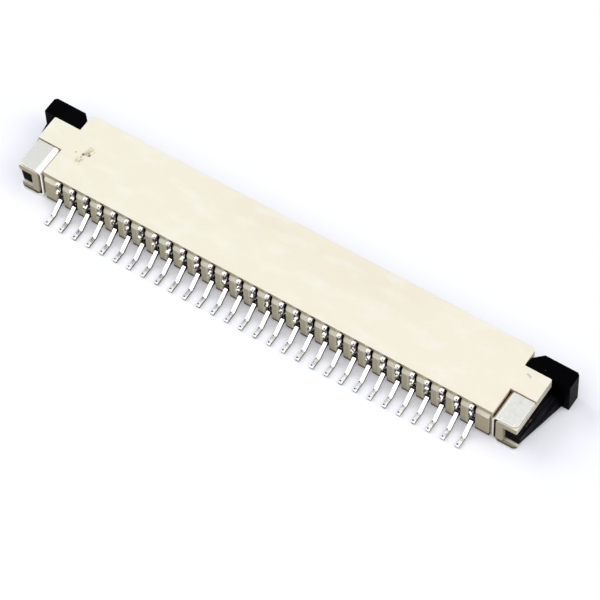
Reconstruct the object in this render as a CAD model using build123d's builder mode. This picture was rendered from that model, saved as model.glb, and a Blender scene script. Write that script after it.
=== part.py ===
"""Flat-cable connector with a pull-out slider, 30 contacts at 1.0 mm pitch, for surface mounting.

Millimetres. +Z points up from the board, +Y points out of the cable mouth, and X runs along the row.
The origin is on the board plane, in the middle of the row, under the back edge of the top plate.
The slider is modelled pushed in, as it locks a cable.
"""

import os

from build123d import *

# Contact row
contact_count = 30
pitch = 1.0
contact_thickness = 0.25
grip_gap = 0.02

# Housing, plan
end_margin = 1.15
plate_depth = 5.02
plate_corner = 0.25
end_step = 0.12
wing_width = 1.73
wing_setback = 1.31
wing_corner = 0.1
wing_floor_corner = 0.3

# Housing, heights
body_height = 2.5
board_gap = 0.08
floor_thickness = 0.22
rib_height = 0.65
cable_space = 0.51
tongue_thickness = 0.36
tongue_gap = 0.04
beam_height = 0.25
beam_gap = 0.01

# Comb of blocks along the solder side
comb_reach = 0.2
comb_end_step = 0.13
comb_bevel = 0.22
band_height = 0.35
comb_foot = 0.06
comb_foot_height = 0.14
slot_width = 0.4
slot_depth = 0.45
slot_cap = 0.2

# Cable mouth
cable_width = 31.0
cable_clearance = 0.05
mouth_back = 1.75
lead_depth = 0.3
lead_drop = 0.2
groove_end_wall = 0.4

# Solder clips
clip_sheet = 0.13
clip_bend = 0.25
clip_height = 2.4
clip_width = 1.63
clip_depth = 1.93
clip_back = 0.15
clip_lip = 0.1
clip_corner = 0.35
clip_lip_corner = 0.25
clip_gap = 0.01
clip_end_gap = 0.02
clip_side_gap = 0.04

# End blocks and the channels for the slider's arms
web_slot = 0.33
post_width = 0.45
post_round = 0.25
channel_wall = 0.2
channel_height = 1.49
shoulder_step = 0.35

# Slider
slider_travel = 1.0
travel_gap = 0.05
arm_gap = 0.04
ear_gap = 0.05
ear_depth = 1.17
ear_bottom = 0.1
right_ear_width = 2.96
right_ear_chamfer = 0.6
left_ear_width = 2.62
left_ear_chamfer = 0.39
ear_corner = 0.15
arm_back = 0.12
hook_length = 0.45
arm_wall = 0.86
arm_wall_chamfer = 0.14
arm_wall_bulge = 0.1
arm_rib = 0.41
arm_foot_flare = 0.8
arm_wall_flare = 0.35
arm_edge_flare = 0.16
tongue_back_gap = 0.2
tongue_nose = 0.65
tongue_nose_rise = 0.2

# Contact profile, heights above the board, with setbacks measured from the plate's front edge
head_radius = 0.17
head_out = 0.2
head_drop = 0.18
back_edge = 0.2
barb_height = 1.62
barb_reach = 0.25
barb_thickness = 0.18
barb_hollow = 0.12
waist_drop = 0.1
tail_top = 0.8
tail_root = 0.32
tail_thickness = 0.18
tail_bend = 0.3
foot_start = 0.95
foot_end = 1.79
foot_nose = 0.07
crotch_y = 1.3
crotch_cut = 0.2
upper_beam_setback = 0.92
upper_beam_nose = 0.1
lower_beam_root = 0.36
lower_beam_thickness = 0.26
lower_beam_setback = 0.87
contact_point_setback = 1.32
contact_point_rise = 0.27
contact_point_half = 0.22
contact_point_cut = 0.08

# Heights, widths and depths that follow from the sizes above
row_half = (contact_count - 1) / 2 * pitch
body_half = row_half + end_margin + end_step
notch_half = row_half + end_margin
wing_half = body_half + wing_width
floor_top = board_gap + floor_thickness
mouth_floor = floor_top + rib_height
mouth_roof = mouth_floor + cable_space + tongue_thickness + tongue_gap
groove_roof = mouth_roof + beam_height + 2 * beam_gap
mouth_half = cable_width / 2 + cable_clearance
slot_top = body_height - slot_cap
recess_floor = clip_height - clip_sheet - clip_gap
recess_front = clip_depth + clip_end_gap
post_inner = body_half + web_slot
channel_inner = post_inner + post_width
channel_floor = clip_sheet + clip_gap + channel_wall
channel_roof = channel_floor + channel_height
shoulder_x = channel_inner + shoulder_step
shoulder_y = arm_back + hook_length + slider_travel + travel_gap
wing_depth = plate_depth - wing_setback
tongue_back = mouth_back + tongue_back_gap
upper_beam_tip = plate_depth - upper_beam_setback
lower_beam_tip = plate_depth - lower_beam_setback
contact_point_y = plate_depth - contact_point_setback
contact_xs = [pitch * index - row_half for index in range(contact_count)]
contact_planes = [Plane.YZ.offset(x) for x in contact_xs]
sides = (-1, 1)
over = 1.0


def across(y):
    """Plane standing across the connector at this depth, with X to the right and Z up."""
    return Plane(origin=(0, y, 0), x_dir=(1, 0, 0), z_dir=(0, -1, 0))


def block(x_from, x_to, z_from, z_to, mode=Mode.ADD):
    """Rectangle in the open sketch between two lows and highs."""
    with Locations(((x_from + x_to) / 2, (z_from + z_to) / 2)):
        Rectangle(x_to - x_from, z_to - z_from, mode=mode)


towards_mouth = (0, 1, 0)

# Housing: plate and wings, comb, mouth, contact pockets, clip seats and arm channels
with BuildPart() as housing:
    with BuildSketch(Plane.XY.offset(board_gap)) as outline:
        block(-wing_half, wing_half, -comb_reach, wing_depth)
        block(-notch_half, notch_half, 0, plate_depth)
        block(-body_half, body_half, -comb_reach - over, 0, Mode.SUBTRACT)
        fillet(outline.vertices().group_by(Axis.Y)[-1], plate_corner)
        for side in sides:
            fillet(outline.vertices().sort_by_distance((side * wing_half, wing_depth))[0], wing_corner)
    extrude(amount=body_height - board_gap)

    # Comb along the solder side, with its bevelled top under the plate's edge
    with BuildSketch(Plane.YZ):
        with BuildLine():
            Polyline(
                (comb_reach, board_gap),
                (-comb_reach + comb_foot, board_gap),
                (-comb_reach, board_gap + comb_foot_height),
                (-comb_reach, body_height - band_height - comb_bevel),
                (0, body_height - band_height),
                (comb_reach, body_height - band_height),
                close=True,
            )
        make_face()
    extrude(amount=body_half - comb_end_step, both=True)

    # Cable mouth, open at the front and, ahead of the wings, at both ends
    with BuildSketch(Plane.XY.offset(mouth_floor)):
        block(-mouth_half, mouth_half, mouth_back, wing_depth)
        block(-notch_half - over, notch_half + over, wing_depth, plate_depth + over)
    extrude(amount=mouth_roof - mouth_floor, mode=Mode.SUBTRACT)

    # Lead-in along the lower lip
    with BuildSketch(Plane.YZ):
        with BuildLine():
            Polyline(
                (plate_depth - lead_depth, mouth_floor),
                (plate_depth, mouth_floor),
                (plate_depth, mouth_floor - lead_drop),
                close=True,
            )
        make_face()
    extrude(amount=notch_half, both=True, mode=Mode.SUBTRACT)

    # Slots for the backs and tails of the contacts
    with BuildSketch(*contact_planes):
        block(-comb_reach - over, slot_depth, -over, slot_top)
    extrude(amount=slot_width / 2, both=True, mode=Mode.SUBTRACT)

    # Pockets that hold the contacts, with a groove above and below the mouth
    with BuildSketch(*contact_planes):
        block(slot_depth / 2, mouth_back + grip_gap, floor_top, groove_roof)
        block(slot_depth, upper_beam_tip + upper_beam_nose, mouth_roof - grip_gap, groove_roof)
        block(slot_depth, plate_depth - groove_end_wall, floor_top, mouth_floor + grip_gap)
    extrude(amount=contact_thickness / 2 + grip_gap, both=True, mode=Mode.SUBTRACT)

    # Seats for the clips: a recess above, a slot for the web and a cut below
    with BuildSketch(across(-comb_reach)) as seat:
        block(body_half, wing_half + over, recess_floor, body_height + over)
        block(body_half, post_inner, -over, body_height + over)
        block(body_half, wing_half + over, -over, channel_floor - channel_wall)
        for corner_z in (recess_floor, channel_floor - channel_wall):
            fillet(seat.vertices().sort_by_distance((post_inner, corner_z))[0], post_round)
        mirror(about=Plane.YZ)
    extrude(amount=comb_reach + recess_front, dir=towards_mouth, mode=Mode.SUBTRACT)

    # Channels for the arms, deeper behind the shoulder that stops the hook
    with BuildSketch(across(-comb_reach)):
        block(channel_inner, wing_half + over, channel_floor, channel_roof)
        mirror(about=Plane.YZ)
    extrude(amount=comb_reach + shoulder_y, dir=towards_mouth, mode=Mode.SUBTRACT)
    with BuildSketch(across(shoulder_y)):
        block(shoulder_x, wing_half + over, channel_floor, channel_roof)
        mirror(about=Plane.YZ)
    extrude(amount=wing_depth - shoulder_y, dir=towards_mouth, mode=Mode.SUBTRACT)

    # Outer back corners of the end blocks, rounder below the channel than above it
    for side in sides:
        for corner_z, radius in ((channel_floor, wing_floor_corner), (channel_roof, wing_corner)):
            corner = (side * wing_half, -comb_reach, corner_z)
            fillet(housing.edges().filter_by(Axis.Z).sort_by_distance(corner)[0], radius)

# Slider: tongue in the mouth, an ear at each end and an arm that runs back from each ear
tongue_top = mouth_roof - tongue_gap
tongue_bottom = tongue_top - tongue_thickness
ear_back = wing_depth + arm_gap
ear_front = ear_back + ear_depth
ear_inner = notch_half + ear_gap
arm_inner = shoulder_x + ear_gap
hook_inner = channel_inner + ear_gap
arm_bottom = channel_floor + arm_gap
arm_top = channel_roof - arm_gap
arm_shoulder = arm_bottom + arm_wall
arm_edge = arm_shoulder + arm_wall_chamfer
arm_sections = (
    (arm_back, 0, arm_wall_bulge, 0),
    (ear_back, arm_foot_flare, arm_wall_flare, arm_edge_flare),
)

# Right arm of the slider, flaring from its hook towards the ear
with BuildPart() as arm:
    for depth, foot_out, shoulder_out, edge_out in arm_sections:
        with BuildSketch(across(depth)):
            with BuildLine():
                Polyline(
                    (arm_inner, arm_bottom),
                    (wing_half + foot_out, arm_bottom),
                    (wing_half + shoulder_out, arm_shoulder),
                    (wing_half + edge_out, arm_edge),
                    (arm_inner + arm_rib, arm_edge),
                    (arm_inner + arm_rib, arm_top),
                    (arm_inner, arm_top),
                    close=True,
                )
            make_face()
    loft(ruled=True)
    with BuildSketch(across(arm_back)):
        block(hook_inner, arm_inner, arm_bottom, arm_top)
    extrude(amount=hook_length, dir=towards_mouth)

with BuildPart() as slider:
    # Tongue, with a nose that slips over the cable
    with BuildSketch(Plane.YZ):
        with BuildLine():
            Polyline(
                (tongue_back, tongue_top),
                (tongue_back, tongue_bottom + tongue_nose_rise),
                (tongue_back + tongue_nose, tongue_bottom),
                (ear_front, tongue_bottom),
                (ear_front, tongue_top),
                close=True,
            )
        make_face()
    extrude(amount=mouth_half - ear_gap, both=True)
    with BuildSketch(Plane.XY.offset(tongue_bottom)):
        bridge_half = ear_inner + left_ear_chamfer
        block(-bridge_half, bridge_half, ear_back, ear_front - right_ear_chamfer)
    extrude(amount=tongue_thickness)

    # Ears, flush with the top plate, the left one narrower
    for side, width, corner_cut in (
        (-1, left_ear_width, left_ear_chamfer),
        (1, right_ear_width, right_ear_chamfer),
    ):
        with BuildSketch(Plane.XY.offset(ear_bottom)):
            with BuildLine():
                Polyline(
                    (side * ear_inner, ear_back),
                    (side * ear_inner, ear_front - corner_cut),
                    (side * (ear_inner + corner_cut), ear_front),
                    (side * (ear_inner + width - ear_corner), ear_front),
                    (side * (ear_inner + width), ear_front - ear_corner),
                    (side * (ear_inner + width), ear_back),
                    close=True,
                )
            make_face()
        extrude(amount=body_height - ear_bottom)
    add(arm.part)
    mirror(arm.part, about=Plane.YZ)

# Solder clips: one folded strip round each end block, with its web in the slot
clip_inner = body_half + clip_side_gap
clip_outer = clip_inner + clip_width

with BuildPart() as solder_clip_right:
    with BuildSketch(across(-clip_back)) as fold:
        block(clip_inner, clip_outer, 0, clip_height)
        fillet(fold.vertices().group_by(Axis.X)[0], clip_bend + clip_sheet)
        with BuildLine():
            FilletPolyline(
                (clip_outer, clip_sheet),
                (clip_inner + clip_sheet, clip_sheet),
                (clip_inner + clip_sheet, clip_height - clip_sheet),
                (clip_outer, clip_height - clip_sheet),
                radius=clip_bend,
            )
            Line((clip_outer, clip_height - clip_sheet), (clip_outer, clip_sheet))
        make_face(mode=Mode.SUBTRACT)
    extrude(amount=clip_back + clip_depth, dir=towards_mouth)
    with BuildSketch(Plane.XY):
        block(clip_inner + clip_bend + clip_sheet, clip_outer, -clip_back - clip_lip, 0)
    extrude(amount=clip_sheet)
    top_corners = solder_clip_right.edges().filter_by(Axis.Z).group_by(Axis.Z)[-1]
    fillet(top_corners.sort_by(Axis.Y)[0], clip_corner)
    lip_corners = solder_clip_right.edges().filter_by(Axis.Z).group_by(Axis.Z)[0]
    fillet(lip_corners.group_by(Axis.Y)[0].sort_by(Axis.X)[-1], clip_lip_corner)

with BuildPart() as solder_clip_left:
    mirror(solder_clip_right.part, about=Plane.YZ)


# Contacts: blanked forks that lie in the pockets
def contact_fork(plane):
    """One contact: head and barb at the back, tail down to its foot, and two beams forward."""
    beam_under = mouth_roof + beam_gap
    beam_top = beam_under + beam_height
    beam_low = mouth_floor - lower_beam_thickness
    head_height = body_height - head_drop
    barb_top = barb_height + barb_thickness / 2
    barb_under = barb_height - barb_thickness / 2
    with BuildPart() as fork:
        with BuildSketch(plane) as profile:
            with BuildLine():
                Polyline(
                    (0, beam_top),
                    (upper_beam_tip - upper_beam_nose, beam_top),
                    (upper_beam_tip, beam_top - upper_beam_nose),
                    (upper_beam_tip, beam_under),
                    (crotch_y, beam_under),
                    (crotch_y, lower_beam_root + lower_beam_thickness),
                    (contact_point_y - contact_point_half, mouth_floor),
                    (contact_point_y, mouth_floor + contact_point_rise),
                    (contact_point_y + contact_point_half, mouth_floor),
                    (lower_beam_tip, beam_low),
                    (contact_point_y, beam_low),
                    (crotch_y, lower_beam_root),
                    (0, lower_beam_root),
                    (-back_edge, tail_top - tail_root),
                    (-foot_start, 0),
                    (-foot_end, 0),
                    (-foot_end, tail_thickness),
                    (-foot_start - tail_thickness / 2, tail_thickness),
                    (-back_edge, tail_top),
                    (0, tail_top - waist_drop),
                    (0, barb_under - barb_hollow),
                    (-back_edge - barb_reach, barb_under),
                    (-back_edge - barb_reach, barb_top),
                    (-back_edge, barb_top + barb_hollow),
                    (-back_edge, head_height),
                    (head_radius - head_out, head_height),
                    close=True,
                )
            make_face()
            rounded_corners = (
                ((-foot_start, 0), tail_bend + tail_thickness),
                ((-foot_start - tail_thickness / 2, tail_thickness), tail_bend),
            )
            for corner, radius in rounded_corners:
                fillet(profile.vertices().sort_by_distance(corner)[0], radius)
            cut_corners = (
                ((-foot_end, tail_thickness), foot_nose),
                ((crotch_y, beam_under), crotch_cut),
                ((crotch_y, lower_beam_root + lower_beam_thickness), crotch_cut),
                ((contact_point_y, mouth_floor + contact_point_rise), contact_point_cut),
            )
            for corner, length in cut_corners:
                chamfer(profile.vertices().sort_by_distance(corner)[0], length)
            with Locations((-head_out, head_height)):
                Circle(head_radius)
        extrude(amount=contact_thickness / 2, both=True)
    return fork.part


os.makedirs("parts", exist_ok=True)
housing.part.label = "housing"
export_step(housing.part, "parts/housing.step")
slider.part.label = "slider"
export_step(slider.part, "parts/slider.step")
solder_clip_left.part.label = "solder_clip_left"
export_step(solder_clip_left.part, "parts/solder_clip_left.step")
solder_clip_right.part.label = "solder_clip_right"
export_step(solder_clip_right.part, "parts/solder_clip_right.step")
for number, plane in enumerate(contact_planes, start=1):
    contact = contact_fork(plane)
    contact.label = f"contact_{number:02d}"
    export_step(contact, f"parts/contact_{number:02d}.step")
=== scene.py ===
"""Looks of a thirty-way right-angle FPC connector with a pull-out slider.

Everything is in metres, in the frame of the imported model: +X along the row of
contacts, +Y out of the cable mouth and +Z up from the circuit board.
"""

import logging
import math
from dataclasses import dataclass
from enum import Enum

import bpy
from mathutils import Matrix, Vector


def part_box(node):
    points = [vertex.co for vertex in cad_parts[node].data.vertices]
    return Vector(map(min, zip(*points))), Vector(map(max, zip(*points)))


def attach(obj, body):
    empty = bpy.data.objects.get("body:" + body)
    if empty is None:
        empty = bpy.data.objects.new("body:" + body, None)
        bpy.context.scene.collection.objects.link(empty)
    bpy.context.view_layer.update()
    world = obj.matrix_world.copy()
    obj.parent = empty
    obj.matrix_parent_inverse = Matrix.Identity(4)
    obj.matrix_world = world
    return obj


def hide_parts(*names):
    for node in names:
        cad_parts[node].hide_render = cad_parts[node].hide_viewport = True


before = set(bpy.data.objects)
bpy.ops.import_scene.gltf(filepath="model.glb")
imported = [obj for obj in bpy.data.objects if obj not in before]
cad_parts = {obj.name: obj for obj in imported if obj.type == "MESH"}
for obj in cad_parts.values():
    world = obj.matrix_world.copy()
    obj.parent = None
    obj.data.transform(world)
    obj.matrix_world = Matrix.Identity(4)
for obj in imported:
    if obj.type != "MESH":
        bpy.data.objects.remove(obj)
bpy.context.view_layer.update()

MM = 0.001

# Cleaning of a CAD node's mesh before its edges are rounded.
MERGE_MM = 0.0005
FLAT_DEGREES = 0.5
# Over 50, large faces count for more than small ones in the shading at an edge.
FACE_WEIGHT = 80
# Rays per point that look for hollows.
HOLLOW_RAYS = 8
# Refractive index of both plastics.
PLASTIC_IOR = 1.5

# Where a pattern's value starts and stops to count.
Range = tuple[float, float]
# X, Y, Z and radius of each mark, in millimetres.
Marks = tuple[tuple[float, float, float, float], ...]

log = logging.getLogger("fpc_connector")


class Body(Enum):
    """The two bodies that the pieces ride on."""

    CONNECTOR = "connector"
    SLIDER = "slider"


class Slot(Enum):
    """The record's material slots."""

    HOUSING = "housing_plastic"
    SLIDER = "slider_plastic"
    CLIP = "clip_metal"
    CONTACT = "contact_metal"


def linear(colour: str) -> tuple[float, float, float, float]:
    """Turns an sRGB hex colour into the linear colour that a socket takes.

    Args:
        colour: Six hex digits, with or without a leading hash.

    Returns:
        Red, green, blue and an alpha of 1.
    """
    digits = colour.lstrip("#")
    channels = [int(digits[i : i + 2], 16) / 255 for i in (0, 2, 4)]
    red, green, blue = (
        c / 12.92 if c <= 0.04045 else ((c + 0.055) / 1.055) ** 2.4 for c in channels
    )
    return red, green, blue, 1.0


def per_mm(size: float) -> float:
    """Texture scale whose features are about `size` millimetres across."""
    return 1 / (size * MM)


def add_node(
    tree: bpy.types.NodeTree,
    kind: str,
    settings: dict[str, object] | None = None,
    inputs: dict[str | int, object] | None = None,
) -> bpy.types.Node:
    """Adds one shader node with its settings and its inputs.

    Args:
        tree: The node tree that gets the node.
        kind: Blender's name of the node type.
        settings: Attributes of the node, by name.
        inputs: For each socket, by name or number, a value or the output that feeds it.

    Returns:
        The new node.
    """
    node = tree.nodes.new(kind)
    for name, value in (settings or {}).items():
        setattr(node, name, value)
    for name, value in (inputs or {}).items():
        if isinstance(value, bpy.types.NodeSocket):
            tree.links.new(value, node.inputs[name])
        else:
            node.inputs[name].default_value = value
    return node


def calculate(
    tree: bpy.types.NodeTree, operation: str, *values: float | bpy.types.NodeSocket
) -> bpy.types.NodeSocket:
    """Adds one step of arithmetic.

    Args:
        tree: The node tree that gets the step.
        operation: Blender's name of the operation.
        *values: What goes in, each a number or the output that feeds it.

    Returns:
        The result.
    """
    step = add_node(
        tree, "ShaderNodeMath", {"operation": operation}, dict(enumerate(values))
    )
    return step.outputs[0]


def select_only(piece: bpy.types.Object) -> None:
    """Deselects everything, then selects `piece` and makes it active."""
    bpy.ops.object.select_all(action="DESELECT")
    piece.select_set(True)
    bpy.context.view_layer.objects.active = piece


def apply_modifier(piece: bpy.types.Object, kind: str, **settings: object) -> None:
    """Adds a modifier to a piece and applies it.

    Args:
        piece: The object to change.
        kind: Blender's name of the modifier type.
        **settings: Attributes of the modifier.
    """
    select_only(piece)
    modifier = piece.modifiers.new(kind.lower(), kind)
    for name, value in settings.items():
        setattr(modifier, name, value)
    bpy.ops.object.modifier_apply(modifier=modifier.name)


@dataclass(frozen=True)
class EdgeRounding:
    """The small radius that moulding or stamping leaves on a piece's edges.

    The upright edges in front of a plane can have a larger radius of their own.
    Lengths are in millimetres and angles in degrees.

    Attributes:
        radius: Radius of the piece's sharp edges.
        segments: Faces across that radius.
        sharper_than: Edges that turn by more than this are rounded.
        smooth_under: Faces that meet at less than this are shaded as one.
        front: Upright edges with a smaller Y than this get the front radius.
        front_radius: Radius of those edges.
        front_segments: Faces across the front radius.
        front_shortest: Upright edges no longer than this get the small radius only.
        front_lean: How far sideways an upright edge may run.
    """

    radius: float
    segments: int = 2
    sharper_than: float = 25.0
    smooth_under: float = 40.0
    front: float | None = None
    front_radius: float = 0.12
    front_segments: int = 4
    front_shortest: float = 0.6
    front_lean: float = 0.01

    def rounded_copy(self, node: str, name: str) -> bpy.types.Object:
        """Copies a CAD node, rounds its edges and smooths its curved faces.

        The copy is worked in millimetres, because the bevel's own tolerances are
        too coarse for edges of a few hundredths of a millimetre in metres.

        Args:
            node: Name of the CAD node.
            name: Name of the new piece.

        Returns:
            The new piece, in the node's place.
        """
        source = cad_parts[node]
        mesh = source.data.copy()
        mesh.name = name
        piece = bpy.data.objects.new(name, mesh)
        bpy.context.scene.collection.objects.link(piece)
        mesh.transform(Matrix.Scale(1 / MM, 4))
        select_only(piece)
        bpy.ops.object.mode_set(mode="EDIT")
        bpy.ops.mesh.select_all(action="SELECT")
        bpy.ops.mesh.remove_doubles(threshold=MERGE_MM)
        bpy.ops.mesh.dissolve_limited(angle_limit=math.radians(FLAT_DEGREES))
        bpy.ops.object.mode_set(mode="OBJECT")
        if self.front is not None:
            self.round_front(piece)
        apply_modifier(
            piece,
            "BEVEL",
            width=self.radius,
            segments=self.segments,
            limit_method="ANGLE",
            angle_limit=math.radians(self.sharper_than),
            use_clamp_overlap=True,
            miter_outer="MITER_ARC",
        )
        select_only(piece)
        bpy.ops.object.shade_smooth_by_angle(angle=math.radians(self.smooth_under))
        apply_modifier(piece, "WEIGHTED_NORMAL", keep_sharp=True, weight=FACE_WEIGHT)
        mesh.transform(Matrix.Scale(MM, 4))
        return piece

    def round_front(self, piece: bpy.types.Object) -> None:
        """Rounds the long upright edges that stand in front of the plane.

        Args:
            piece: The piece, with its mesh in millimetres.
        """
        points = piece.data.vertices
        select_only(piece)
        bpy.ops.object.mode_set(mode="EDIT")
        bpy.ops.mesh.select_mode(type="EDGE")
        bpy.ops.mesh.select_all(action="DESELECT")
        bpy.ops.object.mode_set(mode="OBJECT")
        for edge in piece.data.edges:
            low, high = (points[i].co for i in edge.vertices)
            run = high - low
            edge.select = (
                max(low.y, high.y) < self.front
                and abs(run.z) > self.front_shortest
                and math.hypot(run.x, run.y) < self.front_lean
            )
        bpy.ops.object.mode_set(mode="EDIT")
        bpy.ops.mesh.bevel(
            offset=self.front_radius, segments=self.front_segments, affect="EDGES"
        )
        bpy.ops.object.mode_set(mode="OBJECT")


@dataclass(frozen=True)
class Finish:
    """What all the finishes share: a name and the making of the material.

    Sizes, places and depths in the finishes are in millimetres.
    """

    name: str

    def material(self) -> bpy.types.Material:
        """Makes the material once and returns it."""
        made = bpy.data.materials.get(self.name)
        if made is None:
            made = bpy.data.materials.new(self.name)
            made.use_nodes = True
            made.node_tree.nodes.clear()
            surface = self.surface(made.node_tree)
            add_node(
                made.node_tree,
                "ShaderNodeOutputMaterial",
                inputs={"Surface": surface},
            )
        return made

    def surface(self, tree: bpy.types.NodeTree) -> bpy.types.NodeSocket:
        """Builds the shader. Each finish has its own."""
        raise NotImplementedError

    def place(self, tree: bpy.types.NodeTree) -> bpy.types.NodeSocket:
        """Returns the shaded point in metres, in the model's frame at rest."""
        return add_node(tree, "ShaderNodeTexCoord").outputs["Object"]

    def along(self, tree: bpy.types.NodeTree, axis: str) -> bpy.types.NodeSocket:
        """Returns the shaded point's X, Y or Z, in metres."""
        parts = add_node(
            tree, "ShaderNodeSeparateXYZ", inputs={"Vector": self.place(tree)}
        )
        return parts.outputs[axis]

    def noise(
        self,
        tree: bpy.types.NodeTree,
        size: float,
        stretch: tuple[float, float, float] = (1, 1, 1),
        detail: float = 2.0,
        roughness: float = 0.5,
    ) -> bpy.types.NodeSocket:
        """Adds a noise pattern of a real size.

        Args:
            tree: The material's node tree.
            size: Width of a feature in millimetres.
            stretch: How many times longer the features are along each axis.
            detail: Number of finer layers.
            roughness: Strength of the finer layers.

        Returns:
            The noise value, about 0.5 in the middle.
        """
        squeezed = add_node(
            tree,
            "ShaderNodeMapping",
            inputs={"Vector": self.place(tree), "Scale": tuple(1 / s for s in stretch)},
        )
        pattern = add_node(
            tree,
            "ShaderNodeTexNoise",
            inputs={
                "Vector": squeezed.outputs["Vector"],
                "Scale": per_mm(size),
                "Detail": detail,
                "Roughness": roughness,
            },
        )
        return pattern.outputs["Fac"]

    def between(
        self,
        tree: bpy.types.NodeTree,
        value: bpy.types.NodeSocket,
        low: float,
        high: float,
        to_low: float = 0.0,
        to_high: float = 1.0,
    ) -> bpy.types.NodeSocket:
        """Maps a value from one range to another, held at its ends.

        Args:
            tree: The material's node tree.
            value: The value to map.
            low: Start of the value's range.
            high: End of the value's range, which may be the smaller number.
            to_low: Result at the start and before it.
            to_high: Result at the end and past it.

        Returns:
            The mapped value.
        """
        mapped = add_node(
            tree,
            "ShaderNodeMapRange",
            {"clamp": True},
            {
                "Value": value,
                "From Min": low,
                "From Max": high,
                "To Min": to_low,
                "To Max": to_high,
            },
        )
        return mapped.outputs["Result"]

    def ramp(
        self,
        tree: bpy.types.NodeTree,
        distance: bpy.types.NodeSocket,
        start: float,
        end: float,
        at_start: float = 0.0,
        at_end: float = 1.0,
    ) -> bpy.types.NodeSocket:
        """Changes a value over a distance.

        Args:
            tree: The material's node tree.
            distance: The distance or coordinate, in metres.
            start: Where the change starts, in millimetres.
            end: Where the change ends, in millimetres.
            at_start: Result at the start and before it.
            at_end: Result at the end and past it.

        Returns:
            The value there.
        """
        return self.between(tree, distance, start * MM, end * MM, at_start, at_end)

    def blend(
        self,
        tree: bpy.types.NodeTree,
        share: bpy.types.NodeSocket,
        first: object,
        second: object,
    ) -> bpy.types.NodeSocket:
        """Mixes two colours.

        Args:
            tree: The material's node tree.
            share: Share of the second colour.
            first: A colour, or the output that feeds it.
            second: A colour, or the output that feeds it.

        Returns:
            The mixed colour.
        """
        mixed = add_node(
            tree,
            "ShaderNodeMix",
            {"data_type": "RGBA"},
            {0: share, 6: first, 7: second},
        )
        return mixed.outputs[2]

    def upright(
        self, tree: bpy.types.NodeTree, axis: str, low: float, high: float
    ) -> bpy.types.NodeSocket:
        """Tells faces apart by how squarely they look along one axis.

        Args:
            tree: The material's node tree.
            axis: X, Y or Z.
            low: Share of the normal along the axis that gives 0.
            high: Share of the normal along the axis that gives 1.

        Returns:
            A value from 0 to 1.
        """
        normal = add_node(tree, "ShaderNodeTexCoord").outputs["Normal"]
        parts = add_node(tree, "ShaderNodeSeparateXYZ", inputs={"Vector": normal})
        share = calculate(tree, "ABSOLUTE", parts.outputs[axis])
        return self.between(tree, share, low, high)

    def spots(
        self,
        tree: bpy.types.NodeTree,
        marks: Marks,
        blur: float = 0.6,
        place: bpy.types.NodeSocket | None = None,
    ) -> bpy.types.NodeSocket:
        """Adds round marks at fixed places of the piece.

        Args:
            tree: The material's node tree.
            marks: X, Y, Z and radius of each mark, in millimetres.
            blur: Share of the radius over which a mark fades out.
            place: Where the marks are measured, the shaded point by default.

        Returns:
            1 in the marks and 0 away from them.
        """
        point = self.place(tree) if place is None else place
        covered = None
        for x, y, z, radius in marks:
            reach = add_node(
                tree,
                "ShaderNodeVectorMath",
                {"operation": "DISTANCE"},
                {0: point, 1: (x * MM, y * MM, z * MM)},
            ).outputs["Value"]
            mark = self.ramp(tree, reach, radius * (1 - blur), radius, 1, 0)
            if covered is not None:
                mark = calculate(tree, "MAXIMUM", covered, mark)
            covered = mark
        return covered

    def hollows(
        self, tree: bpy.types.NodeTree, reach: float, full: float, none: float
    ) -> bpy.types.NodeSocket:
        """Finds the narrow corners of a piece.

        Args:
            tree: The material's node tree.
            reach: How far away another surface still counts, in millimetres.
            full: Openness under which a point counts as wholly inside.
            none: Openness over which a point counts as outside.

        Returns:
            1 deep in slots and corners and 0 on open faces.
        """
        openness = add_node(
            tree,
            "ShaderNodeAmbientOcclusion",
            {"samples": HOLLOW_RAYS},
            {"Distance": reach * MM},
        )
        return self.between(tree, openness.outputs["AO"], full, none, 1, 0)

    def relief(
        self, tree: bpy.types.NodeTree, height: bpy.types.NodeSocket, depth: float
    ) -> bpy.types.NodeSocket:
        """Turns a height pattern into bumps.

        Args:
            tree: The material's node tree.
            height: The pattern, 0 at the bottom and 1 at the top.
            depth: How deep the bumps are, in millimetres.

        Returns:
            The bent normal.
        """
        bump = add_node(
            tree,
            "ShaderNodeBump",
            inputs={"Height": height, "Distance": depth * MM, "Strength": 1.0},
        )
        return bump.outputs["Normal"]


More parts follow.
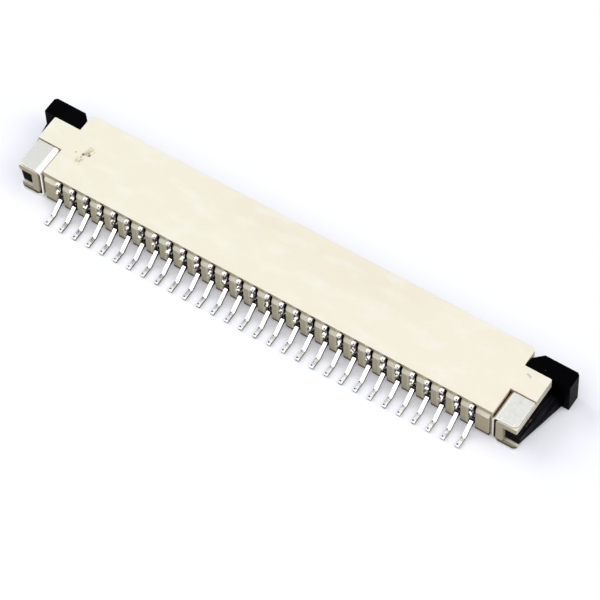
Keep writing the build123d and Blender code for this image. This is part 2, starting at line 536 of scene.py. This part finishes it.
@dataclass(frozen=True)
class NaturalLcp(Finish):
    """Natural liquid crystal polymer, injection moulded.

    To the eye: ivory cream, nearly matt, with a faint drift of tint from the left
    end of the row to the right and a torn gate mark with dark specks. Painted
    shade darkens the upright faces, and a painted highlight makes a lighter band
    at the right of each comb block; a painted shadow draws a dark line along the
    comb's foot, and painted shade turns the corners warm brown, as light gone deep
    into the plastic would.
    """

    # Tint at the row's left and right ends, drifting between them along X.
    left_end_tone: str = "#F5F0D9"
    right_end_tone: str = "#F9F1DC"
    flow_tint: str = "#EEE4CB"
    flow_size: float = 5.0
    flow_range: Range = (0.5, 0.8)
    flow_share: float = 0.6
    cloud_tint: str = "#FFFDF2"
    cloud_size: float = 0.9
    cloud_range: Range = (0.5, 0.75)
    cloud_share: float = 0.5
    half_length: float = 17.5
    # Painted shade on the upright front and back faces.
    upright_painted_shade: str = "#D8CBA6"
    side_faces: Range = (0.75, 0.98)
    # Each comb block has a painted highlight: it is lighter from a little right of its
    # middle. The blocks past the row's ends are plain.
    pitch: float = 1.0
    band_from: float = 0.08
    band_edge: float = 0.05
    band_share: float = 0.35
    row_end: float = 14.6
    # Painted shadow along the comb's foot, where it meets the board.
    foot_painted_shadow: str = "#33281A"
    foot_full: float = 0.3
    foot_top: float = 0.42
    comb_front: float = -0.1
    # Painted shade that turns the narrow corners warm brown.
    corner_painted_shade: str = "#7E5730"
    corner_reach: float = 0.32
    corner_openness: Range = (0.12, 0.66)
    gate_tint: str = "#BEAD82"
    torn_size: float = 0.16
    torn_range: Range = (0.40, 0.62)
    gate_marks: Marks = (
        (-14.28, 2.45, 2.5, 0.34),
        (-14.18, 2.78, 2.5, 0.34),
        (-14.40, 1.84, 2.5, 0.34),
    )
    speck_tint: str = "#2B2010"
    speck_marks: Marks = (
        (-14.93, 2.24, 2.5, 0.06),
        (-14.45, 2.32, 2.5, 0.13),
        (-14.08, 2.44, 2.5, 0.12),
        (-14.20, 2.58, 2.5, 0.07),
        (-14.46, 2.10, 2.5, 0.06),
    )
    scuff_and_highlight_tint: str = "#BDB6BC"
    scuff_and_highlight_marks: Marks = (
        (16.12, 3.28, 2.5, 0.10),
        (16.20, 3.25, 2.5, 0.11),
        (16.28, 3.22, 2.5, 0.11),
        (16.36, 3.19, 2.5, 0.10),
    )
    # The moulded grain is drawn as coarse as it needs to show.
    grain_size: float = 0.15
    grain_depth: float = 0.004
    roughness: float = 0.5

    def surface(self, tree: bpy.types.NodeTree) -> bpy.types.NodeSocket:
        """Builds the moulded plastic."""
        shader = add_node(
            tree,
            "ShaderNodeBsdfPrincipled",
            inputs={
                "Base Color": self.marked(tree, self.moulded(tree)),
                "Roughness": self.roughness,
                "IOR": PLASTIC_IOR,
                "Normal": self.relief(
                    tree, self.noise(tree, self.grain_size), self.grain_depth
                ),
            },
        )
        return shader.outputs["BSDF"]

    def moulded(self, tree: bpy.types.NodeTree) -> bpy.types.NodeSocket:
        """Returns the clean plastic's colour, with its drift and its painted shade."""
        half = self.half_length
        drift = self.ramp(tree, self.along(tree, "X"), -half, half)
        colour = self.blend(tree, drift, linear(self.left_end_tone), linear(self.right_end_tone))
        flow = self.noise(tree, self.flow_size, stretch=(3, 1, 1), detail=3)
        flowed = self.between(tree, flow, *self.flow_range, 0, self.flow_share)
        colour = self.blend(tree, flowed, colour, linear(self.flow_tint))
        cloud = self.noise(tree, self.cloud_size, stretch=(2, 1, 1), detail=4)
        clouded = self.between(tree, cloud, *self.cloud_range, 0, self.cloud_share)
        colour = self.blend(tree, clouded, colour, linear(self.cloud_tint))
        # Painted shade on the upright faces, weaker in each block's painted highlight
        # band.
        colour = self.blend(tree, self.sides(tree), colour, linear(self.upright_painted_shade))
        # Painted shadow along the comb's foot.
        colour = self.blend(tree, self.foot(tree), colour, linear(self.foot_painted_shadow))
        # Painted shade: the narrow corners turn warm brown.
        corners = self.hollows(tree, self.corner_reach, *self.corner_openness)
        return self.blend(tree, corners, colour, linear(self.corner_painted_shade))

    def sides(self, tree: bpy.types.NodeTree) -> bpy.types.NodeSocket:
        """Returns 1 for painted shade on front and back faces, less in the painted light
        bands.
        """
        row = self.along(tree, "X")
        half = self.pitch / 2 * MM
        block = calculate(tree, "WRAP", row, half, -half)
        band = self.ramp(
            tree,
            block,
            self.band_from,
            self.band_from + self.band_edge,
            1,
            self.band_share,
        )
        outwards = calculate(tree, "ABSOLUTE", row)
        ends = self.ramp(tree, outwards, self.row_end, self.row_end + self.band_edge)
        plain = calculate(tree, "MAXIMUM", band, ends)
        faces = self.upright(tree, "Y", *self.side_faces)
        return calculate(tree, "MULTIPLY", faces, plain)

    def foot(self, tree: bpy.types.NodeTree) -> bpy.types.NodeSocket:
        """Returns 1 along the comb's foot, where it meets the board and its shadow is
        painted.
        """
        height = self.along(tree, "Z")
        low = self.ramp(tree, height, self.foot_full, self.foot_top, 1, 0)
        comb = self.ramp(tree, self.along(tree, "Y"), 0, self.comb_front)
        return calculate(tree, "MULTIPLY", low, comb)

    def marked(
        self, tree: bpy.types.NodeTree, colour: bpy.types.NodeSocket
    ) -> bpy.types.NodeSocket:
        """Lays the gate mark, its specks and a scuff over the plastic's colour."""
        torn = self.noise(tree, self.torn_size, detail=3)
        gate = calculate(
            tree,
            "MULTIPLY",
            self.spots(tree, self.gate_marks, blur=0.7),
            self.between(tree, torn, *self.torn_range),
        )
        colour = self.blend(tree, gate, colour, linear(self.gate_tint))
        scuff = self.spots(tree, self.scuff_and_highlight_marks, blur=1.0)
        colour = self.blend(tree, scuff, colour, linear(self.scuff_and_highlight_tint))
        specks = self.spots(tree, self.speck_marks, blur=0.8)
        return self.blend(tree, specks, colour, linear(self.speck_tint))


@dataclass(frozen=True)
class BlackLcp(Finish):
    """Black glass-filled liquid crystal polymer, injection moulded.

    To the eye: near black and satin, with the fine grain of the glass fibre,
    greyer streaks along the arms as painted sheen, and a few pale spots,
    mostly along the right arm's top edge, as painted highlights.
    """

    colour: str = "#020203"
    worn: str = "#060608"
    patch_size: float = 1.5
    patch_range: Range = (0.45, 0.75)
    # Painted sheen: the arms are paler than the ears, in streaks along them.
    arm_dark: str = "#0A0A0C"
    arm_painted_sheen: str = "#2A2A30"
    arm_root: float = 3.6
    arm_fade: float = 0.6
    streak_size: float = 0.22
    streak_range: Range = (0.42, 0.66)
    # On the slider these are painted highlights, mostly along the right arm's top edge.
    scuff_and_highlight_tint: str = "#66646A"
    scuff_and_highlight_marks: Marks = (
        (17.53, 1.38, 1.38, 0.045),
        (17.53, 1.30, 1.38, 0.055),
        (17.53, 1.22, 1.38, 0.055),
        (17.52, 1.10, 1.38, 0.030),
        (17.52, 0.95, 1.38, 0.035),
        (17.52, 0.86, 1.38, 0.050),
        (17.78, 1.47, 1.28, 0.035),
        (16.84, 4.03, 2.50, 0.030),
    )
    # The glass fibre's grain is drawn as coarse as it needs to show.
    grain_size: float = 0.12
    grain_depth: float = 0.003
    roughness: float = 0.4
    shine: float = 0.012

    def surface(self, tree: bpy.types.NodeTree) -> bpy.types.NodeSocket:
        """Builds the black plastic."""
        patches = self.noise(tree, self.patch_size, detail=4)
        worn = self.between(tree, patches, *self.patch_range)
        colour = self.blend(tree, worn, linear(self.colour), linear(self.worn))
        # Painted sheen in streaks along the arms.
        streaks = self.noise(tree, self.streak_size, stretch=(1, 9, 1), detail=3)
        pale = self.between(tree, streaks, *self.streak_range)
        arm_sheen_colour = self.blend(tree, pale, linear(self.arm_dark), linear(self.arm_painted_sheen))
        depth = self.along(tree, "Y")
        fade_from = self.arm_root - self.arm_fade
        arms = self.ramp(tree, depth, fade_from, self.arm_root, 1, 0)
        colour = self.blend(tree, arms, colour, arm_sheen_colour)
        # Painted highlights, mostly along the right arm's top edge.
        painted_highlights = self.spots(tree, self.scuff_and_highlight_marks)
        colour = self.blend(tree, painted_highlights, colour, linear(self.scuff_and_highlight_tint))
        grain = self.noise(tree, self.grain_size, stretch=(3, 1, 1))
        shader = add_node(
            tree,
            "ShaderNodeBsdfPrincipled",
            inputs={
                "Base Color": colour,
                "Roughness": self.roughness,
                "IOR": PLASTIC_IOR,
                "Specular IOR Level": self.shine,
                "Normal": self.relief(tree, grain, self.grain_depth),
            },
        )
        return shader.outputs["BSDF"]


@dataclass(frozen=True)
class MattTin(Finish):
    """Matt tin plating on sheet brass, rolled, stamped and folded.

    To the eye: even satin grey with faint rolling lines and soft grey stains,
    a few small painted highlights on the right clip, painted shade that darkens
    the left clip, and a painted highlight that whitens the left clip's bend.
    """

    colour: str = "#DEDEDA"
    dull: str = "#D2D2CD"
    patch_size: float = 0.3
    patch_range: Range = (0.4, 0.7)
    # Painted shade that darkens the left clip.
    left_clip_painted_shade: str = "#CDCDC9"
    # Painted highlight that whitens the left clip's bend.
    bend_painted_highlight: str = "#F8F8F4"
    bend_from: float = -16.24
    bend_edge: float = 0.05
    bend_to: float = -15.80
    # Painted highlights: small bright spots on the right clip.
    painted_glint_tint: str = "#FBFBF8"
    painted_glint_marks: Marks = (
        (16.37, 0.02, 2.4, 0.07),
        (16.40, 0.42, 2.4, 0.05),
        (17.19, 0.02, 2.4, 0.06),
    )
    stain_tint: str = "#C2C2BC"
    stain_marks: Marks = (
        (-16.60, 0.62, 2.4, 0.06),
        (-16.62, 1.20, 2.4, 0.05),
        (16.70, 1.50, 2.4, 0.10),
    )
    # The rolling lines are drawn as coarse as they need to show.
    line_size: float = 0.06
    line_depth: float = 0.0006
    rough_range: Range = (0.35, 0.65)
    smooth: float = 0.27
    rough: float = 0.3

    def surface(self, tree: bpy.types.NodeTree) -> bpy.types.NodeSocket:
        """Builds the satin plating."""
        patches = self.noise(tree, self.patch_size, detail=5, roughness=0.6)
        share = self.between(tree, patches, *self.patch_range)
        colour = self.blend(tree, share, linear(self.colour), linear(self.dull))
        stains = self.spots(tree, self.stain_marks, blur=0.9)
        colour = self.blend(tree, stains, colour, linear(self.stain_tint))
        # Painted highlights on the right clip.
        painted_glints = self.spots(tree, self.painted_glint_marks, blur=0.9)
        colour = self.blend(tree, painted_glints, colour, linear(self.painted_glint_tint))
        row = self.along(tree, "X")
        # Painted shade: the left clip is darker than the right.
        left = self.ramp(tree, row, 0, -1)
        colour = self.blend(tree, left, colour, linear(self.left_clip_painted_shade))
        # Painted highlight along the left clip's bend.
        outer = self.ramp(tree, row, self.bend_from - self.bend_edge, self.bend_from)
        inner = self.ramp(tree, row, self.bend_to, 0, 1, 0)
        rubbed = calculate(tree, "MULTIPLY", outer, inner)
        colour = self.blend(tree, rubbed, colour, linear(self.bend_painted_highlight))
        roughness = self.between(
            tree, patches, *self.rough_range, self.smooth, self.rough
        )
        lines = self.noise(tree, self.line_size, stretch=(1, 10, 1), detail=3)
        shader = add_node(
            tree,
            "ShaderNodeBsdfPrincipled",
            inputs={
                "Base Color": colour,
                "Metallic": 1.0,
                "Roughness": roughness,
                "Normal": self.relief(tree, lines, self.line_depth),
            },
        )
        return shader.outputs["BSDF"]


@dataclass(frozen=True)
class BrightTin(Finish):
    """Bright tin plating on stamped phosphor bronze.

    To the eye: white metal with soft broken highlights, painted shade in dark
    broken tones on its upright fronts, painted shade on the rolled faces, a few
    painted dark spots of shade and reflection on each head and foot, and painted
    shade, nearly black, deep between the comb's blocks.
    """

    colour: str = "#FCFBF8"
    dull: str = "#C9C7C2"
    patch_size: float = 0.35
    patch_range: Range = (0.5, 0.72)
    # Painted shade on the strip's rolled side faces.
    rolled: str = "#62605D"
    rolled_faces: Range = (0.6, 0.95)
    # Painted shade and reflection on the upright fronts, in broken dark and light tones.
    front: str = "#D5D3CE"
    front_shade: str = "#45433F"
    front_faces: Range = (0.5, 0.2)
    # The fronts' broken tones of painted shade are drawn as coarse as they need to show.
    front_size: float = 0.16
    front_range: Range = (0.44, 0.56)
    # Between these heights the sloping faces have the fronts' painted shade too.
    stem_foot: float = 0.85
    stem_top: float = 2.22
    stem_edge: float = 0.1
    pitch: float = 1.0
    # Painted shade and dark reflections: a few dark spots on each head, neck, tail and
    # foot tip.
    painted_dark_spot_tint: str = "#2E2C2A"
    painted_dark_spot_marks: Marks = (
        (0.54, -0.31, 2.45, 0.08),
        (0.45, -1.66, 0.18, 0.09),
        (0.42, -1.10, 0.18, 0.07),
        (0.56, -0.12, 2.05, 0.08),
    )
    # Painted shade, nearly black, deep in the narrow gaps.
    hollow_painted_shade: str = "#17130F"
    hollow_reach: float = 0.3
    hollow_openness: Range = (0.3, 0.85)
    # The plating's ripple is drawn as coarse as it needs to show.
    ripple_size: float = 0.18
    ripple_depth: float = 0.002
    rough_range: Range = (0.35, 0.65)
    smooth: float = 0.12
    rough: float = 0.2

    def in_pitch(self, tree: bpy.types.NodeTree) -> bpy.types.NodeSocket:
        """Returns the shaded point with X counted within one contact's pitch."""
        joined = add_node(
            tree,
            "ShaderNodeCombineXYZ",
            inputs={
                "X": calculate(
                    tree, "WRAP", self.along(tree, "X"), self.pitch * MM, 0.0
                ),
                "Y": self.along(tree, "Y"),
                "Z": self.along(tree, "Z"),
            },
        )
        return joined.outputs["Vector"]

    def stem(self, tree: bpy.types.NodeTree) -> bpy.types.NodeSocket:
        """Returns 1 between the foot and the head and 0 on them."""
        height = self.along(tree, "Z")
        above = self.ramp(
            tree, height, self.stem_foot, self.stem_foot + self.stem_edge
        )
        below = self.ramp(
            tree, height, self.stem_top, self.stem_top + self.stem_edge, 1, 0
        )
        return calculate(tree, "MULTIPLY", above, below)

    def surface(self, tree: bpy.types.NodeTree) -> bpy.types.NodeSocket:
        """Builds the bright plating."""
        patches = self.noise(tree, self.patch_size, detail=4, roughness=0.6)
        share = self.between(tree, patches, *self.patch_range)
        sheared = self.blend(tree, share, linear(self.colour), linear(self.dull))
        # Painted shade and reflection: broken tones on the upright fronts and the stems.
        broken = self.noise(tree, self.front_size, detail=1)
        lit = self.between(tree, broken, *self.front_range)
        fronts = self.blend(tree, lit, linear(self.front_shade), linear(self.front))
        steep = self.upright(tree, "Z", *self.front_faces)
        colour = self.blend(tree, steep, sheared, fronts)
        colour = self.blend(tree, self.stem(tree), colour, fronts)
        # Painted shade on the rolled side faces.
        strip = self.upright(tree, "X", *self.rolled_faces)
        colour = self.blend(tree, strip, colour, linear(self.rolled))
        # Painted shade deep between the comb's blocks.
        hollows = self.hollows(tree, self.hollow_reach, *self.hollow_openness)
        colour = self.blend(tree, hollows, colour, linear(self.hollow_painted_shade))
        # Painted dark spots of shade and reflection, repeated at each contact.
        painted_dark_spots = self.spots(tree, self.painted_dark_spot_marks, blur=0.7, place=self.in_pitch(tree))
        colour = self.blend(tree, painted_dark_spots, colour, linear(self.painted_dark_spot_tint))
        roughness = self.between(
            tree, patches, *self.rough_range, self.smooth, self.rough
        )
        ripple = self.noise(tree, self.ripple_size)
        shader = add_node(
            tree,
            "ShaderNodeBsdfPrincipled",
            inputs={
                "Base Color": colour,
                "Metallic": 1.0,
                "Roughness": roughness,
                "Normal": self.relief(tree, ripple, self.ripple_depth),
            },
        )
        return shader.outputs["BSDF"]


def dress(
    piece: bpy.types.Object, finish: Finish, body: Body, node: str
) -> bpy.types.Object:
    """Gives a piece its finish and puts it in the place of its CAD node.

    Args:
        piece: The finished piece.
        finish: What it is made of.
        body: The body that it rides on.
        node: The CAD node that it stands for.

    Returns:
        The same piece.
    """
    piece.data.materials.clear()
    piece.data.materials.append(finish.material())
    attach(piece, body.value)
    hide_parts(node)
    log.info("%s stands for %s, %d faces", piece.name, node, len(piece.data.polygons))
    return piece


@dataclass
class Housing:
    """The cream housing with its comb, its deep cable mouth and its end blocks."""

    rounding: EdgeRounding = EdgeRounding(radius=0.025, front=-0.1)
    finish: Finish = NaturalLcp("Natural LCP, moulded")

    def build(self) -> bpy.types.Object:
        """Builds and dresses the housing."""
        piece = self.rounding.rounded_copy("housing", "housing_moulding")
        return dress(piece, self.finish, Body.CONNECTOR, "housing")


@dataclass
class Slider:
    """The black slider: a tongue that presses the cable, two ears and two arms."""

    rounding: EdgeRounding = EdgeRounding(radius=0.05, segments=3)
    finish: Finish = BlackLcp("Black LCP, moulded")
    # How far the left arm's outer wall leans out at its root, and the box that
    # the wall stands in, all in millimetres.
    flare: float = 0.44
    flare_inside: float = -17.55
    ear_side: float = -18.25
    arm_tip: float = 0.12
    arm_root: float = 3.78
    wall_foot: float = 0.4
    wall_top: float = 1.24
    arm_top: float = 1.45

    def build(self) -> bpy.types.Object:
        """Builds and dresses the slider."""
        piece = self.rounding.rounded_copy("slider", "slider_moulding")
        self.flare_left_arm(piece)
        return dress(piece, self.finish, Body.SLIDER, "slider")

    def flare_left_arm(self, piece: bpy.types.Object) -> None:
        """Leans the left arm's outer wall out to the ear's side, most at its root.

        Args:
            piece: The slider, in metres.
        """
        for point in piece.data.vertices:
            x, y, z = (value / MM for value in point.co)
            outer_wall = self.ear_side < x < self.flare_inside
            if outer_wall and y < self.arm_root and z < self.arm_top:
                along = (y - self.arm_tip) / (self.arm_root - self.arm_tip)
                up = (z - self.wall_foot) / (self.wall_top - self.wall_foot)
                share = min(max(along, 0), 1) * min(max(up, 0), 1)
                point.co.x -= self.flare * share * MM


@dataclass
class SolderClips:
    """The two folded sheet clips that solder the housing's ends to the board."""

    rounding: EdgeRounding = EdgeRounding(radius=0.03)
    finish: Finish = MattTin("Matt tin on brass sheet")

    def build(self) -> list[bpy.types.Object]:
        """Builds and dresses both clips."""
        made = []
        for side in ("left", "right"):
            node = f"solder_clip_{side}"
            piece = self.rounding.rounded_copy(node, f"{node}_sheet")
            made.append(dress(piece, self.finish, Body.CONNECTOR, node))
        return made


@dataclass
class ContactRow:
    """The thirty fork contacts, stamped alike and stitched in one row."""

    count: int = 30
    rounding: EdgeRounding = EdgeRounding(radius=0.02)
    finish: Finish = BrightTin("Bright tin on phosphor bronze")

    def build(self) -> list[bpy.types.Object]:
        """Rounds the first contact, then copies it along the row."""
        first = self.rounding.rounded_copy("contact_01", "contact_01_stamping")
        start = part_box("contact_01")[0]
        made = [first]
        for number in range(2, self.count + 1):
            node = f"contact_{number:02d}"
            mesh = first.data.copy()
            mesh.transform(Matrix.Translation(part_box(node)[0] - start))
            piece = bpy.data.objects.new(f"{node}_stamping", mesh)
            bpy.context.scene.collection.objects.link(piece)
            made.append(piece)
        for number, piece in enumerate(made, start=1):
            node = f"contact_{number:02d}"
            dress(piece, self.finish, Body.CONNECTOR, node)
        return made


def direction(azimuth: float, elevation: float) -> Vector:
    """Unit vector towards a place round the object.

    Args:
        azimuth: Degrees from -Y, growing towards +X.
        elevation: Degrees above the board.

    Returns:
        The direction from the object to that place.
    """
    a, e = math.radians(azimuth), math.radians(elevation)
    return Vector((math.sin(a) * math.cos(e), -math.cos(a) * math.cos(e), math.sin(e)))


@dataclass(frozen=True)
class SoftLamp:
    """A square soft box aimed at the middle of the object.

    Its width and distance are in metres, its power in watts and its azimuth and
    elevation in degrees, as `direction` takes them.
    """

    name: str
    azimuth: float
    elevation: float
    power: float
    width: float = 0.30
    distance: float = 0.45
    colour: str = "#FFFFFF"

    def add(self) -> bpy.types.Object:
        """Adds the lamp to the scene."""
        towards = direction(self.azimuth, self.elevation)
        bpy.ops.object.light_add(type="AREA", location=towards * self.distance)
        lamp = bpy.context.object
        lamp.name = self.name
        lamp.rotation_mode = "QUATERNION"
        lamp.rotation_quaternion = (-towards).to_track_quat("-Z", "Y")
        lamp.data.shape = "SQUARE"
        lamp.data.size = self.width
        lamp.data.energy = self.power
        lamp.data.color = linear(self.colour)[:3]
        log.info("lamp %s, %.2f W", self.name, self.power)
        return lamp


@dataclass(frozen=True)
class PhotoCamera:
    """The photograph's viewpoint: where it looks, from which side and how far.

    Lengths are in millimetres and angles in degrees.
    """

    aim: tuple[float, float, float] = (2.2771, 0.5531, 2.5)
    azimuth: float = 35.6487
    elevation: float = 56.9790
    roll: float = -2.8793
    distance: float = 199.424
    lens: float = 205.3715
    sensor: float = 36.0

    def add(self) -> bpy.types.Object:
        """Adds the camera and makes it the scene's own."""
        back = direction(self.azimuth, self.elevation)
        bpy.ops.object.camera_add(location=(Vector(self.aim) + back * self.distance) * MM)
        camera = bpy.context.object
        level = (-back).to_track_quat("-Z", "Y").to_matrix()
        turned = level @ Matrix.Rotation(math.radians(self.roll), 3, "Z")
        camera.rotation_mode = "QUATERNION"
        camera.rotation_quaternion = turned.to_quaternion()
        camera.data.lens = self.lens
        camera.data.sensor_width = self.sensor
        camera.data.clip_start = 0.01
        camera.data.clip_end = 10
        bpy.context.scene.camera = camera
        log.info("camera at %s", tuple(round(v, 4) for v in camera.location))
        return camera


@dataclass
class Studio:
    """A white table in soft light from both sides, the front and above."""

    lamps: tuple[SoftLamp, ...] = (
        SoftLamp("left box", azimuth=-92, elevation=42, power=0.72),
        SoftLamp("right box", azimuth=100, elevation=42, power=0.48),
        SoftLamp("front box", azimuth=-12, elevation=60, power=0.56, width=0.36),
        SoftLamp("top box", azimuth=115, elevation=72, power=0.31, width=0.36),
    )
    sky: str = "#EFF3FF"
    sky_strength: float = 0.33
    # The table as it is seen, as it lights the object, and its added glow.
    table_colour: str = "#F2F2F7"
    table_bounce: str = "#98989A"
    table_lift: float = 0.17
    # Half the table's width in metres, and its gap under the soles in millimetres.
    table_half: float = 1.0
    table_drop: float = 0.02

    def build(self) -> None:
        """Builds the lamps, the surroundings and the table."""
        for lamp in self.lamps:
            lamp.add()
        self.add_sky()
        self.add_table()

    def seen(self, tree: bpy.types.NodeTree) -> bpy.types.NodeSocket:
        """Returns 1 for camera, mirror and transmitted rays and 0 for the rest."""
        ray = add_node(tree, "ShaderNodeLightPath").outputs
        seen = calculate(tree, "MAXIMUM", ray["Is Camera Ray"], ray["Is Glossy Ray"])
        return calculate(tree, "MAXIMUM", seen, ray["Is Transmission Ray"])

    def add_sky(self) -> None:
        """Adds the even light round the object, seen as white."""
        world = bpy.data.worlds.new("Studio")
        bpy.context.scene.world = world
        world.use_nodes = True
        tree = world.node_tree
        tree.nodes.clear()
        lit = add_node(
            tree,
            "ShaderNodeBackground",
            inputs={"Color": linear(self.sky), "Strength": self.sky_strength},
        )
        white = add_node(
            tree,
            "ShaderNodeBackground",
            inputs={"Color": linear("#FFFFFF"), "Strength": 1.0},
        )
        both = add_node(
            tree,
            "ShaderNodeMixShader",
            inputs={0: self.seen(tree), 1: lit.outputs[0], 2: white.outputs[0]},
        )
        add_node(tree, "ShaderNodeOutputWorld", inputs={"Surface": both.outputs[0]})

    def add_table(self) -> None:
        """Adds the white table, which keeps the object's shadow."""
        bpy.ops.mesh.primitive_plane_add(
            size=2 * self.table_half, location=(0, 0, -self.table_drop * MM)
        )
        table = bpy.context.object
        table.name = "table"
        material = bpy.data.materials.new("White paper table")
        material.use_nodes = True
        tree = material.node_tree
        tree.nodes.clear()
        seen = self.seen(tree)
        tone = add_node(
            tree,
            "ShaderNodeMix",
            {"data_type": "RGBA"},
            {0: seen, 6: linear(self.table_bounce), 7: linear(self.table_colour)},
        )
        paper = add_node(
            tree, "ShaderNodeBsdfDiffuse", inputs={"Color": tone.outputs[2]}
        )
        lift = calculate(tree, "MULTIPLY", seen, self.table_lift)
        glow = add_node(
            tree,
            "ShaderNodeEmission",
            inputs={"Color": linear("#FFFFFF"), "Strength": lift},
        )
        both = add_node(
            tree, "ShaderNodeAddShader", inputs={0: paper.outputs[0], 1: glow.outputs[0]}
        )
        add_node(tree, "ShaderNodeOutputMaterial", inputs={"Surface": both.outputs[0]})
        table.data.materials.append(material)


def main() -> None:
    """Builds the camera, the studio and the connector's pieces in order."""
    logging.basicConfig(level=logging.INFO, format="%(name)s: %(message)s")
    bpy.context.scene.view_settings.view_transform = "Standard"
    PhotoCamera().add()
    Studio().build()
    Housing().build()
    Slider().build()
    SolderClips().build()
    ContactRow().build()


if __name__ == "__main__":
    main()
